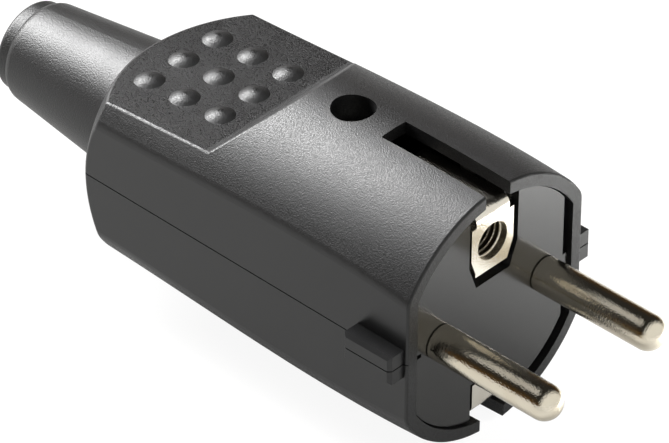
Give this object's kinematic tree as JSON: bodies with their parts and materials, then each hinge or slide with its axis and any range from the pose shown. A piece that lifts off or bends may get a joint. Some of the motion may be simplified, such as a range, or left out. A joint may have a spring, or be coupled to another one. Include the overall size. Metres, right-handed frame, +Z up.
{
  "type": "rubber electric plug",
  "caption": "Rewireable black rubber mains plug with round pins, side earth slots, a flanked round body, a nubbed thumb grip and a tapered kink sleeve.",
  "frame": {"origin": "middle of the rim plane that meets the socket, halfway between the pins' axes", "axes": "+X the way the pins point, +Y from pin to pin, +Z up through the housing screw and the thumb grip"},
  "size_m": [0.0998, 0.0368, 0.0372],
  "materials": {
    "housing_rubber": "satin grained",
    "sleeve_rubber": "satin",
    "carrier_plastic": "gloss",
    "nickel_plated_brass": "polished nickel",
    "zinc_plated_steel": "satin",
    "clamp_plastic": "matte"
  },
  "bodies": {
    "root": {"clamp_bar": "clamp_plastic", "clamp_nut_left": "zinc_plated_steel", "clamp_nut_right": "zinc_plated_steel", "clamp_screw_left": "zinc_plated_steel", "clamp_screw_right": "zinc_plated_steel", "contact_carrier": "carrier_plastic", "earth_screw": "zinc_plated_steel", "earth_socket": "nickel_plated_brass", "earth_strap": "nickel_plated_brass", "earth_washer": "zinc_plated_steel", "housing_nut": "zinc_plated_steel", "housing_screw": "zinc_plated_steel", "kink_sleeve": "sleeve_rubber", "lower_shell": "housing_rubber", "pin_left": "nickel_plated_brass", "pin_right": "nickel_plated_brass", "terminal_plate_left": "zinc_plated_steel", "terminal_plate_right": "zinc_plated_steel", "terminal_screw_left": "zinc_plated_steel", "terminal_screw_right": "zinc_plated_steel", "upper_shell": "housing_rubber"}
  },
  "joints": []
}
